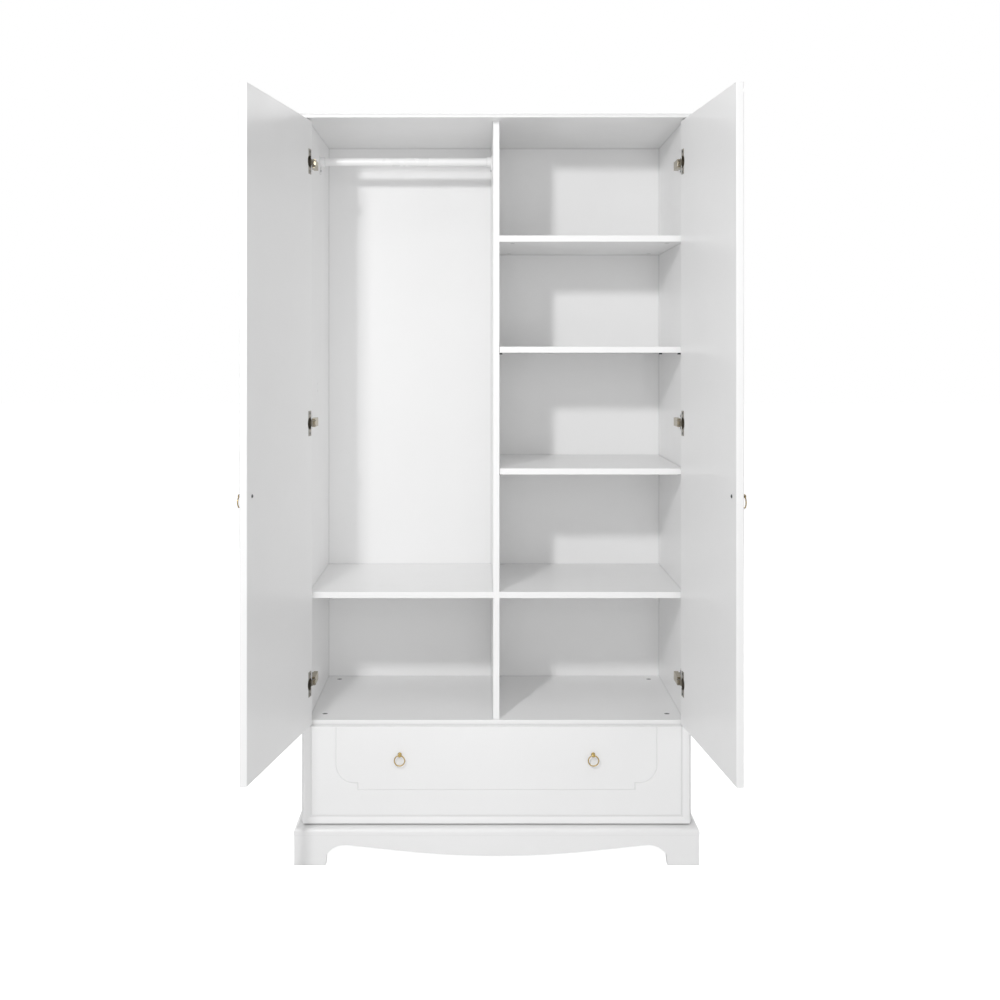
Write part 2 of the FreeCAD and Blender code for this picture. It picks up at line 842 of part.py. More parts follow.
def moulding(body, start_z, face_y, edge_x, inward, corners):
    """The moulded border: a cove and a groove run along the face's outer edges."""
    profile = new_sketch(body, "moulding_profile", "XY_Plane", start_z)

    def point(across, deep):
        return (f"{edge_x} + {inward} * ({across})", f"{face_y} + {deep}")

    draw(
        profile,
        [
            point("mould_flat", "(-cut_proud)"),
            point("mould_flat", "0"),
            point("mould_wide", "mould_deep"),
            point("mould_wide", "mould_floor"),
            point("mould_wide + mould_groove", "mould_floor"),
            point("mould_wide + mould_groove + mould_slope", "0"),
            point("mould_wide + mould_groove + mould_slope", "(-cut_proud)"),
        ],
    )
    spine = new_sketch(body, "moulding_spine", "XZ_Plane", f"-({face_y})")
    draw(spine, corners, closed=False)
    sweep_cut(body, "moulding", profile, spine)


def scribed_line(body, start_z, face_y, line_x, points, arcs):
    """A fine V-groove that follows a line on a front's face."""
    profile = new_sketch(body, "line_profile", "XY_Plane", start_z)
    draw(
        profile,
        [
            (f"{line_x} - line_half", f"{face_y} - cut_proud"),
            (f"{line_x} - line_half", face_y),
            (line_x, f"{face_y} + line_deep"),
            (f"{line_x} + line_half", face_y),
            (f"{line_x} + line_half", f"{face_y} - cut_proud"),
        ],
    )
    spine = new_sketch(body, "line_spine", "XZ_Plane", f"-({face_y})")
    draw(spine, points, arcs, closed=False)
    sweep_cut(body, "scribed_line", profile, spine)


def corner_line(edge_x, inward, edge_z, upward, beyond_z):
    """A scribed line's run from beyond a board, down its side and round the corner."""
    side_x = f"{edge_x} + {inward} * line_side"
    arc_x = f"{edge_x} + {inward} * (line_side + line_arc)"
    step_x = f"{edge_x} + {inward} * (line_side + line_arc + line_ledge)"
    end_z = f"{edge_z} + {upward} * line_end"
    ledge_z = f"{edge_z} + {upward} * (line_end + line_step)"
    arc_z = f"{edge_z} + {upward} * (line_end + line_step + line_arc)"
    points = [
        (side_x, beyond_z),
        (side_x, arc_z),
        (arc_x, ledge_z),
        (step_x, ledge_z),
        (step_x, end_z),
    ]
    return points, (arc_x, arc_z, inward * upward)


def door_panel(name):
    """A door leaf in its own frame: rounded, moulded, scribed and bored."""
    side = SIDES[name]
    inward = -side
    hinge_x = f"(-{inward} * axis_side)"
    free_x = f"({inward} * {DOOR_FREE})"
    body = new_body(f"door_panel_{name}")
    outline = new_sketch(body, "outline", "XZ_Plane", f"-{DOOR_INSIDE}")
    rectangle(outline, (hinge_x, "door_low"), (free_x, "door_high"))
    leaf = pad(body, outline, "front_thick")
    fillet(body, "round", leaf, "front_round", lambda middle: on_a_face(middle, DOOR_INSIDE, DOOR_OUTSIDE))
    beyond_z = "(door_low - cut_beyond)"
    beyond_x = f"({free_x} + {inward} * cut_beyond)"
    corners = [(hinge_x, beyond_z), (hinge_x, "door_high"), (beyond_x, "door_high")]
    moulding(body, beyond_z, DOOR_OUTSIDE, hinge_x, inward, corners)
    points, arc = corner_line(hinge_x, inward, "door_high", -1, beyond_z)
    points.append((beyond_x, points[-1][1]))
    scribed_line(body, beyond_z, DOOR_OUTSIDE, points[0][0], points, {1: arc})
    bores = new_sketch(body, "cup_bores", "XZ_Plane", f"-{DOOR_INSIDE}")
    circles(bores, "bore_radius", [(f"{inward} * {CUP_X}", height) for height in HINGES])
    pocket(body, "cup_bore", bores, "bore_deep")
    hole = new_sketch(body, "pull_hole", "XZ_Plane", f"-{DOOR_INSIDE}")
    circles(hole, "screw_hole", [(f"{inward} * {PULL_X}", "pull_high")])
    pocket(body, "pull_bore", hole, "front_thick")
    on_door(body, name)


def on_a_face(middle, *planes):
    """Whether an edge lies in one of the planes of constant Y."""
    return any(abs(middle.y - size(plane)) < ON_PLANE for plane in planes)


def door_hinges(name):
    """A door's three cups with their flanges, and the two screws of each."""
    side = SIDES[name]
    x = mirrored(-side, CUP_X)
    cups = []
    screws = []
    for height in HINGES:
        floor_y = f"{DOOR_INSIDE} - cup_deep"
        cup = rod("cup_wall", "cup_radius", "y", (x, floor_y, height), "cup_deep")
        flange = box(
            "cup_flange",
            (f"{x} - cup_flange_wide / 2", f"{x} + cup_flange_wide / 2"),
            (DOOR_INSIDE, f"{DOOR_INSIDE} + cup_flange_thick"),
            (f"{height} - cup_flange_high / 2", f"{height} + cup_flange_high / 2"),
        )
        hollow_at = (x, f"{floor_y} + cup_flange_thick", height)
        hollow = rod("cup_hollow", "cup_inner", "y", hollow_at, "cup_deep")
        holes = []
        for way in (-1, 1):
            z = f"{height} + {way} * cup_screw_pitch / 2"
            face = f"({DOOR_INSIDE} + cup_flange_thick)"
            hole_at = (x, DOOR_INSIDE, z)
            holes.append(rod("cup_hole", "wood_shank + screw_play", "y", hole_at, "cup_flange_thick"))
            head = rod("cup_screw_head", "wood_head", "y", (x, face, z), "cup_screw_head")
            shank_at = (x, f"{face} - wood_long", z)
            shank = rod("cup_screw_shank", "wood_shank", "y", shank_at, "wood_long")
            screws.append(fuse("cup_screw", [head, shank]))
        cups.append(cut("hinge_cup", fuse("cup_shell", [cup, flange]), [hollow] + holes))
    on_door(node(f"hinge_cups_{name}", group(f"hinge_cups_{name}", cups)), name)
    on_door(node(f"cup_screws_{name}", group(f"cup_screws_{name}", screws)), name)


# ---------------------------------------------------------------- pulls


def pull_post(label, x, face_y, z):
    """A rosette, neck and ball with an eye through it for the ring."""
    rose_at = (x, f"{face_y} - rose_thick", z)
    neck_at = (x, f"{face_y} - ball_out", z)
    rose = rod(f"{label}_rose", "rose_radius", "y", rose_at, "rose_thick")
    neck = rod(f"{label}_neck", "neck_radius", "y", neck_at, "ball_out")
    ball = doc.addObject("Part::Sphere", f"{label}_ball")
    bind(ball, "Radius", "ball_radius")
    put(ball, neck_at)
    eye_at = (f"{x} - ball_radius", f"{face_y} - ball_out", z)
    eye = rod(f"{label}_eye", "eye_radius", "x", eye_at, "2 * ball_radius")
    return node(label, cut(f"{label}_cut", fuse(f"{label}_body", [rose, neck, ball]), [eye]))


def pull_ring(label, x, face_y, z):
    """The ring that hangs from a post's eye."""
    ring = doc.addObject("Part::Torus", label)
    bind(ring, "Radius1", "ring_radius")
    bind(ring, "Radius2", "wire_radius")
    ring.Placement = FreeCAD.Placement(FreeCAD.Vector(), TURNS["y"])
    put(ring, (x, f"{face_y} - ball_out", f"{z} - ring_radius"))
    return ring


def pull_screw(x, face_y, thickness, z):
    """A screw from inside a front to the post on its face."""
    shank = rod("pull_screw_shank", "screw_shank", "y", (x, face_y, z), thickness)
    head_at = (x, f"{face_y} + {thickness}", z)
    head = rod("pull_screw_head", "screw_head", "y", head_at, "head_thick")
    return fuse("pull_screw", [shank, head])


def door_pull(name):
    """A door's ring pull and its screw, in the door's frame and then on the door."""
    x = mirrored(-SIDES[name], PULL_X)
    label = f"door_{name}"
    post = pull_post(f"pull_post_{label}", x, DOOR_OUTSIDE, "pull_high")
    ring = group(f"pull_ring_{label}", [pull_ring(f"ring_{label}", x, DOOR_OUTSIDE, "pull_high")])
    screw = group(f"pull_screw_{label}", [pull_screw(x, DOOR_OUTSIDE, "front_thick", "pull_high")])
    on_door(post, name)
    on_door(node(f"pull_ring_{label}", ring), name)
    on_door(node(f"pull_screw_{label}", screw), name)


# ---------------------------------------------------------------- drawer


def drawer_front():
    """The drawer's overlay front with its moulding and scribed line."""
    body = new_body("drawer_front")
    back_y = "(-body_depth - front_gap)"
    face_y = "(-body_depth - front_gap - front_thick)"
    outline = new_sketch(body, "outline", "XZ_Plane", f"-{back_y}")
    rectangle(outline, (f"-{HALF_FRONT}", "drawer_low"), (HALF_FRONT, "drawer_high"))
    board = pad(body, outline, "front_thick")
    fillet(body, "round", board, "front_round", lambda middle: on_a_face(middle, face_y))
    beyond = "(drawer_high + cut_beyond)"
    corners = [
        (f"-{HALF_FRONT}", beyond),
        (f"-{HALF_FRONT}", "drawer_low"),
        (HALF_FRONT, "drawer_low"),
        (HALF_FRONT, beyond),
    ]
    moulding(body, beyond, face_y, f"(-{HALF_FRONT})", 1, corners)
    left, left_arc = corner_line(f"(-{HALF_FRONT})", 1, "drawer_low", 1, beyond)
    right, right_arc = corner_line(HALF_FRONT, -1, "drawer_low", 1, beyond)
    points = left + right[::-1]
    arc_step = len(points) - 3
    arcs = {1: left_arc, arc_step: (right_arc[0], right_arc[1], 1)}
    scribed_line(body, beyond, face_y, left[0][0], points, arcs)
    holes = new_sketch(body, "pull_holes", "XZ_Plane", f"-{back_y}")
    circles(holes, "screw_hole", [(x, "drawer_pull_high") for x in ("-drawer_pull", "drawer_pull")])
    pocket(body, "pull_bore", holes, "front_thick")


def drawer_box():
    """The drawer's grooved sides, front rail and back, and the bottom in their grooves."""
    high = ("box_low", "box_high")
    groove_high = ("box_low + bottom_lift", "box_low + bottom_lift + box_bottom")
    inside = f"({BOX_HALF} - box_side)"
    whole = (BOX_FRONT, BOX_BACK)
    for name, side in SIDES.items():
        label = f"drawer_side_{name}"
        board = box(f"{label}_board", span(side, inside, BOX_HALF), whole, high)
        groove = box(
            f"{label}_groove",
            span(side, inside, f"{inside} + box_groove"),
            whole,
            groove_high,
        )
        node(label, cut(f"{label}_cut", board, [groove]))
    across = (f"-{inside}", inside)
    front_deep = (BOX_FRONT, f"{BOX_FRONT} + box_side")
    front_groove = (f"{front_deep[1]} - box_groove", front_deep[1])
    front_board = box("drawer_inner_front_board", across, front_deep, high)
    front_tools = [box("drawer_inner_front_groove", across, front_groove, groove_high)]
    for x in ("-drawer_pull", "drawer_pull"):
        place = (x, BOX_FRONT, "drawer_pull_high")
        front_tools.append(rod("drawer_inner_front_hole", "screw_hole", "y", place, "box_side"))
    node("drawer_inner_front", cut("drawer_inner_front_cut", front_board, front_tools))
    back_deep = (f"{BOX_BACK} - box_back", BOX_BACK)
    back_groove = (back_deep[0], f"{back_deep[0]} + box_groove")
    back_board = box("drawer_back_board", across, back_deep, high)
    back_tool = box("drawer_back_groove", across, back_groove, groove_high)
    node("drawer_back", cut("drawer_back_cut", back_board, [back_tool]))
    bottom = box(
        "drawer_bottom",
        (f"-{inside} - box_groove + groove_play", f"{inside} + box_groove - groove_play"),
        (f"{front_groove[0]} + groove_play", f"{back_groove[1]} - groove_play"),
        groove_high,
    )
    node("drawer_bottom", bottom)


def drawer_pulls():
    """The drawer's two ring pulls and their long screws."""
    face_y = "(-body_depth - front_gap - front_thick)"
    screws = []
    for name, side in SIDES.items():
        x = mirrored(side, "drawer_pull")
        label = f"drawer_{name}"
        pull_post(f"pull_post_{label}", x, face_y, "drawer_pull_high")
        node(f"pull_ring_{label}", pull_ring(f"pull_ring_{label}", x, face_y, "drawer_pull_high"))
        screws.append(pull_screw(x, face_y, "(front_thick + box_side)", "drawer_pull_high"))
    node("pull_screws_drawer", group("pull_screws_drawer", screws))


def channel(label, side, web, lip, half):
    """A slide member of C section; web and lip are how far each stands off the side."""
    opens_in = size(lip) > size(web)
    low, top = (web, lip) if opens_in else (lip, web)
    if opens_in:
        open_low, open_top = f"{low} + slide_sheet", top
    else:
        open_low, open_top = low, f"{top} - slide_sheet"
    deep = (f"{FRONT} + slide_front", f"{FRONT} + slide_front + slide_long")
    solid = box(
        f"{label}_solid",
        span(side, f"{INNER} - ({top})", f"{INNER} - ({low})"),
        deep,
        (f"slide_high - ({half})", f"slide_high + ({half})"),
    )
    hollow = box(
        f"{label}_hollow",
        span(side, f"{INNER} - ({open_top})", f"{INNER} - ({open_low})"),
        deep,
        (f"slide_high - ({half}) + slide_sheet", f"slide_high + ({half}) - slide_sheet"),
    )
    node(label, cut(f"{label}_cut", solid, [hollow]))


def drawer_slides():
    """On each side a cabinet member, a middle member and a drawer member, nested."""
    nest = "(slide_sheet + slide_gap)"
    members = {
        "cabinet": ("0", "slide_wide - slide_lip", "slide_half"),
        "middle": (nest, f"slide_wide - {nest}", f"slide_half - {nest}"),
        "drawer": ("slide_wide", f"2 * {nest}", f"slide_half - 2 * {nest}"),
    }
    for name, side in SIDES.items():
        for member, (web, lip, half) in members.items():
            channel(f"slide_{member}_{name}", side, web, lip, half)


# ---------------------------------------------------------------- build


def check_all():
    """Stop if anything in the document failed or a sub-part is not a sound shape."""
    for thing in doc.Objects:
        if "Invalid" in thing.State or "Error" in thing.State:
            raise RuntimeError(f"{thing.Label} is {thing.State}")
    for thing in NODES:
        if thing.Shape.isNull() or not thing.Shape.isValid():
            raise RuntimeError(f"{thing.Label} has no valid shape")


fill_sheet()
GAUGE = doc.addObject("Part::Vertex", "gauge")

side_panels()
back_panels()
divider()
fixed_boards()
loose_shelves()
rounded_board("top_panel", "body_top", "top_thick", "top_round")
rounded_board("base_panel", PLINTH_TOP, "base_thick", "base_round")
plinth_front()
plinth_rest()
hanging_rail()
hinge_plates()
hinge_arms()
for door in SIDES:
    door_panel(door)
    door_hinges(door)
    door_pull(door)
    hinge_links(door)
drawer_front()
drawer_box()
drawer_pulls()
drawer_slides()
doc.recompute()
check_all()

os.makedirs("parts", exist_ok=True)
for piece in NODES:
    piece.Shape.exportStep(f"parts/{piece.Label}.step")
    room = piece.Shape.BoundBox
    print(f"{piece.Label}: {len(piece.Shape.Solids)} solid(s), volume {piece.Shape.Volume:.0f}", room)
print(len(NODES), "nodes")
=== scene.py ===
import json
import math

import bmesh
import bpy
from mathutils import Matrix, Vector


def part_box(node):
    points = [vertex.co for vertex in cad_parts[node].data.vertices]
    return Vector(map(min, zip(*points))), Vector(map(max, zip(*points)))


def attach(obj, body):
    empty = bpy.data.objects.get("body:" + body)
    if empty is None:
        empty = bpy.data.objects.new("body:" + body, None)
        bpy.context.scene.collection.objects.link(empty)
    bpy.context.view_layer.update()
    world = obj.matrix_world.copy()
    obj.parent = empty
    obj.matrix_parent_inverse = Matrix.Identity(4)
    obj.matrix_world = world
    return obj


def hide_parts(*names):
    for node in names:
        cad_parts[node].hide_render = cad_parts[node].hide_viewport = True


# The looks of a white lacquered wardrobe with brass ring pulls, in metres.
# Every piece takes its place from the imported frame, and rides on its body.

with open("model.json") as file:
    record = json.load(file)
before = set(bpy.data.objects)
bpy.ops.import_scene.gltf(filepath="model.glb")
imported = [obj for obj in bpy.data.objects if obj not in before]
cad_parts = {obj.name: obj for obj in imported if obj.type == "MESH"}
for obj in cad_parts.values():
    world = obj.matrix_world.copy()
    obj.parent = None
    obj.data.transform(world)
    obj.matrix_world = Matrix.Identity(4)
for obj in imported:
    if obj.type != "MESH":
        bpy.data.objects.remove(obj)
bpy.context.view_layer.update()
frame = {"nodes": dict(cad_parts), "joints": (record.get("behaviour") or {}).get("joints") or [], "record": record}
NODES = frame["nodes"]
JOINTS = {joint["name"]: joint for joint in frame["joints"]}
BODY_OF = {
    node: body
    for body, members in frame["record"]["behaviour"]["bodies"].items()
    for node in members
}
SLOT_OF = {row["node"]: row["material_slot"] for row in frame["record"]["subparts"]}
MM = 0.001


# ---------------------------------------------------------------- materials

# Noise scales are per metre, and reaches and depths in metres. Shades are shares of a colour,
# as is the painted shade in crevices, and each less and more is a step of roughness.
CREVICE_SAMPLES = 8
COAT_ROUGHNESS = 0.25
CLOUD_SCALE, CLOUD_SHADE = 3.0, 0.965
SHEEN_SCALE, SHEEN_LESS, SHEEN_MORE = 14.0, 0.05, 0.06
PEEL_SCALE = 420.0
# Painted shade in the boards' grooves and joints: its reach, and the share of the colour left at the deepest
BOARD_REACH, BOARD_CREVICE_SHADE = 0.005, 0.68
BRUSH_SCALE, BRUSH_DEEP, BRUSH_LESS, BRUSH_MORE = 900.0, 0.00001, 0.06, 0.1
TARNISH_SCALE = 60.0
# Painted shade in the metals' recesses: its reach, and the share of the colour left at the deepest
METAL_REACH, METAL_CREVICE_SHADE = 0.012, 0.08


def new_material(name, colour, roughness, metallic=0.0):
    """A Principled material with its own tree, ready for detail."""
    material = bpy.data.materials.new(name)
    material.use_nodes = True
    shader = material.node_tree.nodes["Principled BSDF"]
    shader.inputs["Base Color"].default_value = (*colour, 1.0)
    shader.inputs["Roughness"].default_value = roughness
    shader.inputs["Metallic"].default_value = metallic
    return material, material.node_tree, shader


def noise(tree, scale, detail=2.0, stretch=(1.0, 1.0, 1.0)):
    """Noise in the object's own metres; a scale of 1000 is millimetre grain."""
    place = tree.nodes.new("ShaderNodeTexCoord")
    mapping = tree.nodes.new("ShaderNodeMapping")
    mapping.inputs["Scale"].default_value = stretch
    texture = tree.nodes.new("ShaderNodeTexNoise")
    texture.inputs["Scale"].default_value = scale
    texture.inputs["Detail"].default_value = detail
    tree.links.new(place.outputs["Object"], mapping.inputs["Vector"])
    tree.links.new(mapping.outputs["Vector"], texture.inputs["Vector"])
    return texture.outputs["Fac"]


def ramp(tree, value, low, high):
    """A noise value spread between two numbers."""
    spread = tree.nodes.new("ShaderNodeMapRange")
    spread.inputs["From Min"].default_value = 0.3
    spread.inputs["From Max"].default_value = 0.7
    spread.inputs["To Min"].default_value = low
    spread.inputs["To Max"].default_value = high
    tree.links.new(value, spread.inputs["Value"])
    return spread.outputs["Result"]


def mottle(tree, shader, value, colour, other):
    """The base colour drifts between two colours with a noise value."""
    mix = tree.nodes.new("ShaderNodeMix")
    mix.data_type = "RGBA"
    mix.inputs["A"].default_value = (*colour, 1.0)
    mix.inputs["B"].default_value = (*other, 1.0)
    tree.links.new(value, mix.inputs["Factor"])
    tree.links.new(mix.outputs["Result"], shader.inputs["Base Color"])


def paint_crevice_shade(tree, shader, reach, dark):
    """Painted shade: grooves and recesses get darker over a reach in metres, down to a share of the colour, as
    ambient occlusion in the base colour.
    """
    link = shader.inputs["Base Color"].links[0]
    hollow = tree.nodes.new("ShaderNodeAmbientOcclusion")
    hollow.inputs["Distance"].default_value = reach
    hollow.samples = CREVICE_SAMPLES
    spread = tree.nodes.new("ShaderNodeMapRange")
    spread.inputs["To Min"].default_value = dark
    spread.inputs["To Max"].default_value = 1.0
    shade = tree.nodes.new("ShaderNodeMix")
    shade.data_type = "RGBA"
    shade.blend_type = "MULTIPLY"
    shade.inputs["Factor"].default_value = 1.0
    tree.links.new(hollow.outputs["AO"], spread.inputs["Value"])
    tree.links.new(link.from_socket, shade.inputs["A"])
    tree.links.new(spread.outputs["Result"], shade.inputs["B"])
    tree.links.new(shade.outputs["Result"], shader.inputs["Base Color"])


def bump(tree, shader, value, depth):
    """Relief of a real depth in metres."""
    relief = tree.nodes.new("ShaderNodeBump")
    relief.inputs["Distance"].default_value = depth
    tree.links.new(value, relief.inputs["Height"])
    tree.links.new(relief.outputs["Normal"], shader.inputs["Normal"])


def white_board(name, colour, roughness, peel, coat):
    """Sprayed or foiled board: faint clouding, orange peel, uneven gloss and painted shade in its grooves and
    joints.
    """
    material, tree, shader = new_material(name, colour, roughness)
    shader.inputs["Coat Weight"].default_value = coat
    shader.inputs["Coat Roughness"].default_value = COAT_ROUGHNESS
    darker = tuple(CLOUD_SHADE * part for part in colour)
    mottle(tree, shader, noise(tree, CLOUD_SCALE, 4.0), colour, darker)
    sheen = noise(tree, SHEEN_SCALE, 3.0)
    gloss = ramp(tree, sheen, roughness - SHEEN_LESS, roughness + SHEEN_MORE)
    tree.links.new(gloss, shader.inputs["Roughness"])
    bump(tree, shader, noise(tree, PEEL_SCALE), peel)
    paint_crevice_shade(tree, shader, BOARD_REACH, BOARD_CREVICE_SHADE)
    return material


def metal(name, colour, other, roughness, stretch=(1, 1, 1), dark=METAL_CREVICE_SHADE):
    """Plated metal: fine grain, drawn out where a stretch says so, uneven polish and painted shade in its
    recesses.
    """
    material, tree, shader = new_material(name, colour, roughness, 1.0)
    grain = noise(tree, BRUSH_SCALE, 3.0, stretch)
    mottle(tree, shader, noise(tree, TARNISH_SCALE, 3.0), colour, other)
    gloss = ramp(tree, grain, roughness - BRUSH_LESS, roughness + BRUSH_MORE)
    tree.links.new(gloss, shader.inputs["Roughness"])
    bump(tree, shader, grain, BRUSH_DEEP)
    paint_crevice_shade(tree, shader, METAL_REACH, dark)
    return material


# The last of these whites is a darker copy of the lacquer's white, painted shade on the top board.
WHITE, FOIL_WHITE, SHADED_TOP_WHITE = (0.90,) * 3, (0.88,) * 3, (0.84,) * 3
BRASS, BRASS_DARK = (0.62, 0.43, 0.13), (0.50, 0.32, 0.08)
# Plated steel is grey metal set darker here, partly painted shade on the hinge plates; the arms' lighter, warmer
# copy is painted light.
PLATED, PLATED_DARK = (0.29, 0.26, 0.21), (0.19, 0.17, 0.135)
ARM, ARM_DARK = (0.42, 0.36, 0.24), (0.30, 0.25, 0.165)
BRIGHT_STEEL, BRIGHT_STEEL_DARK = (0.66, 0.67, 0.68), (0.58, 0.59, 0.60)
ZINC, ZINC_DARK = (0.13, 0.13, 0.135), (0.08, 0.08, 0.085)
FINE_ACROSS, DRAWN_ALONG = (1, 1, 8), (1, 0.05, 1)
MATERIALS = {
    "white_lacquer": white_board("white_lacquer", WHITE, 0.36, 0.00002, 0.25),
    "white_back_sheet": white_board("white_back_sheet", WHITE, 0.55, 0.00003, 0.0),
    "white_foil_board": white_board("white_foil_board", FOIL_WHITE, 0.5, 0.00003, 0.0),
    "white_steel": white_board("white_steel", WHITE, 0.3, 0.00003, 0.3),
    "polished_brass": metal("polished_brass", BRASS, BRASS_DARK, 0.17),
    "plated_steel": metal("plated_steel", PLATED, PLATED_DARK, 0.3, FINE_ACROSS, 0.3),
    "slide_steel": metal("slide_steel", BRIGHT_STEEL, BRIGHT_STEEL_DARK, 0.32, DRAWN_ALONG),
    "zinc_fittings": metal("zinc_fittings", ZINC, ZINC_DARK, 0.42),
}
# Two nodes with their own copy of their slot's material: a darker white on the top board, painted shade, and a
# lighter, warmer plated steel on the hinge arms, painted light
OWN_MATERIALS = {
    "top_panel": white_board("white_lacquer_top_shaded", SHADED_TOP_WHITE, 0.36, 0.00002, 0.25),
    "hinge_arms": metal("plated_steel_arms_lit", ARM, ARM_DARK, 0.3, FINE_ACROSS, 0.2),
}


def dress(thing, node):
    """Give an object the material of its node as its only one."""
    thing.data.materials.clear()
    thing.data.materials.append(OWN_MATERIALS.get(node, MATERIALS[SLOT_OF[node]]))


# ---------------------------------------------------------------- nodes kept from the frame

WELD_REACH = 0.01 * MM
SHARP_DEGREES, SMOOTH_DEGREES = 40, 35


def soften_edges(thing, width):
    """A small round on every hard edge, as spraying or stamping leaves it."""
    weld = thing.modifiers.new("weld", "WELD")
    weld.merge_threshold = WELD_REACH
    bevel = thing.modifiers.new("bevel", "BEVEL")
    bevel.width = width
    bevel.segments = 2
    bevel.limit_method = "ANGLE"
    bevel.angle_limit = math.radians(SHARP_DEGREES)
    shade = thing.modifiers.new("shade", "WEIGHTED_NORMAL")
    shade.weight = 80


# Nodes whose own mouldings and rounds are too fine for a bevel
MOULDED = ("door_panel_left", "door_panel_right", "drawer_front", "plinth_front", "top_panel")
EDGE_ROUND = {
    "white_lacquer": 0.8 * MM,
    "white_back_sheet": 0.3 * MM,
    "white_foil_board": 0.5 * MM,
    "white_steel": 0.6 * MM,
    "plated_steel": 0.3 * MM,
    "slide_steel": 0.25 * MM,
}
for node_name, cad_node in NODES.items():
    dress(cad_node, node_name)
    if SLOT_OF[node_name] in EDGE_ROUND and node_name not in MOULDED:
        soften_edges(cad_node, EDGE_ROUND[SLOT_OF[node_name]])

# ---------------------------------------------------------------- small turned pieces


def lathe(profile, segments=40):
    """A closed mesh turned about local Z, from (radius, height) pairs in millimetres."""
    body = bmesh.new()
    rings = []
    for radius, high in profile:
        if radius == 0:
            rings.append([body.verts.new((0, 0, high * MM))])
            continue
        ring = []
        for step in range(segments):
            turn = 2 * math.pi * step / segments
            spot = (radius * MM * math.cos(turn), radius * MM * math.sin(turn), high * MM)
            ring.append(body.verts.new(spot))
        rings.append(ring)
    for low, high in zip(rings, rings[1:]):
        for step in range(segments):
            after = (step + 1) % segments
            if len(low) == 1:
                corners = [low[0], high[after], high[step]]
            elif len(high) == 1:
                corners = [low[step], low[after], high[0]]
            else:
                corners = [low[step], low[after], high[after], high[step]]
            body.faces.new(corners)
    bmesh.ops.recalc_face_normals(body, faces=body.faces)
    return body


def bar(low, high):
    """A box between two corners in millimetres, as a tool for cutting."""
    body = bmesh.new()
    bmesh.ops.create_cube(body, size=1.0)
    for vert in body.verts:
        for axis in range(3):
            vert.co[axis] = (low[axis] if vert.co[axis] < 0 else high[axis]) * MM
    return body


def to_mesh(body, name):
    """The finished mesh of a body, which is then let go."""
    mesh = bpy.data.meshes.new(name)
    body.to_mesh(mesh)
    body.free()
    return mesh


def carve(body, cutters, name):
    """The mesh of a body with every cutter taken out of it."""
    thing = bpy.data.objects.new(name, to_mesh(body, name))
    bpy.context.scene.collection.objects.link(thing)
    tools = []
    for cutter in cutters:
        tool = bpy.data.objects.new(f"{name}_tool", to_mesh(cutter, f"{name}_tool"))
        bpy.context.scene.collection.objects.link(tool)
        cut = thing.modifiers.new("cut", "BOOLEAN")
        cut.operation = "DIFFERENCE"
        cut.solver = "EXACT"
        cut.object = tool
        tools.append(tool)
    bpy.context.view_layer.update()
    graph = bpy.context.evaluated_depsgraph_get()
    mesh = bpy.data.meshes.new_from_object(thing.evaluated_get(graph))
    for used in [thing, *tools]:
        bpy.data.objects.remove(used)
    return mesh


def smooth_by_angle(mesh):
    """Smooth shading that keeps the sharper edges crisp."""
    body = bmesh.new()
    body.from_mesh(mesh)
    limit = math.radians(SMOOTH_DEGREES)
    for face in body.faces:
        face.smooth = True
    for edge in body.edges:
        edge.smooth = len(edge.link_faces) == 2 and edge.calc_face_angle(0) < limit
    body.to_mesh(mesh)
    body.free()


def standing(origin, up, side):
    """The matrix that takes local Z to up and local X to side, at an origin."""
    up = Vector(up).normalized()
    side = Vector(side).normalized()
    turn = Matrix((side, up.cross(side), up)).transposed()
    return Matrix.Translation(origin) @ turn.to_4x4()


def set_piece(name, mesh, matrices, node):
    """One object made of copies of a mesh, which stands for a node of the frame."""
    body = bmesh.new()
    for matrix in matrices:
        copy = mesh.copy()
        copy.transform(matrix)
        body.from_mesh(copy)
        bpy.data.meshes.remove(copy)
    joined = to_mesh(body, name)
    smooth_by_angle(joined)
    thing = bpy.data.objects.new(name, joined)
    bpy.context.scene.collection.objects.link(thing)
    dress(thing, node)
    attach(thing, BODY_OF[node])
    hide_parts(node)
    return thing


def joined_body(node):
    """A node's mesh with its split vertices joined again."""
    body = bmesh.new()
    body.from_mesh(NODES[node].data)
    bmesh.ops.remove_doubles(body, verts=body.verts, dist=0.001 * MM)
    return body


def solids(node):
    """The separate solids of a node, each as a list of points."""
    body = joined_body(node)
    seen, groups = set(), []
    for first in body.verts:
        if first in seen:
            continue
        seen.add(first)
        group, waiting = [], [first]
        while waiting:
            vert = waiting.pop()
            group.append(vert.co.copy())
            for edge in vert.link_edges:
                other = edge.other_vert(vert)
                if other not in seen:
                    seen.add(other)
                    waiting.append(other)
        groups.append(group)
    body.free()
    return groups


def along(points, direction):
    """Where a solid starts and ends along a direction, and the middle of its section."""
    reach = [point.dot(direction) for point in points]
    middle = sum(points, Vector()) / len(points)
    low, high = min(reach), max(reach)
    return low, high, middle - direction * middle.dot(direction)


# ---------------------------------------------------------------- screws and cam locks

# Head radius, head thickness and shank radius, then other sizes, in millimetres and degrees
WOOD_SCREW, CUP_SCREW, PULL_SCREW = (3.55, 2.0, 1.75), (3.55, 1.0, 1.75), (4.45, 2.5, 1.9)
WOOD_SCREW_LONG = 13.0
THREAD_PITCH = 1.2
SCREW_SPIN = 37
CAM_SPIN, CAM_START = 90, 14

DOOR_FACING = {}
for side_name in ("left", "right"):
    ring_axis = Vector(JOINTS[f"{side_name}_door_ring_swing"]["axis"])
    DOOR_FACING[side_name] = Vector((0, 0, 1)).cross(ring_axis).normalized()


def cross_cutters(reach, width, deep, top):
    """Two bars that cut a cross recess down from a given height."""
    half = width / 2
    return [
        bar((-reach, -half, top - deep), (reach, half, top + 1)),
        bar((-half, -reach, top - deep), (half, reach, top + 1)),
    ]


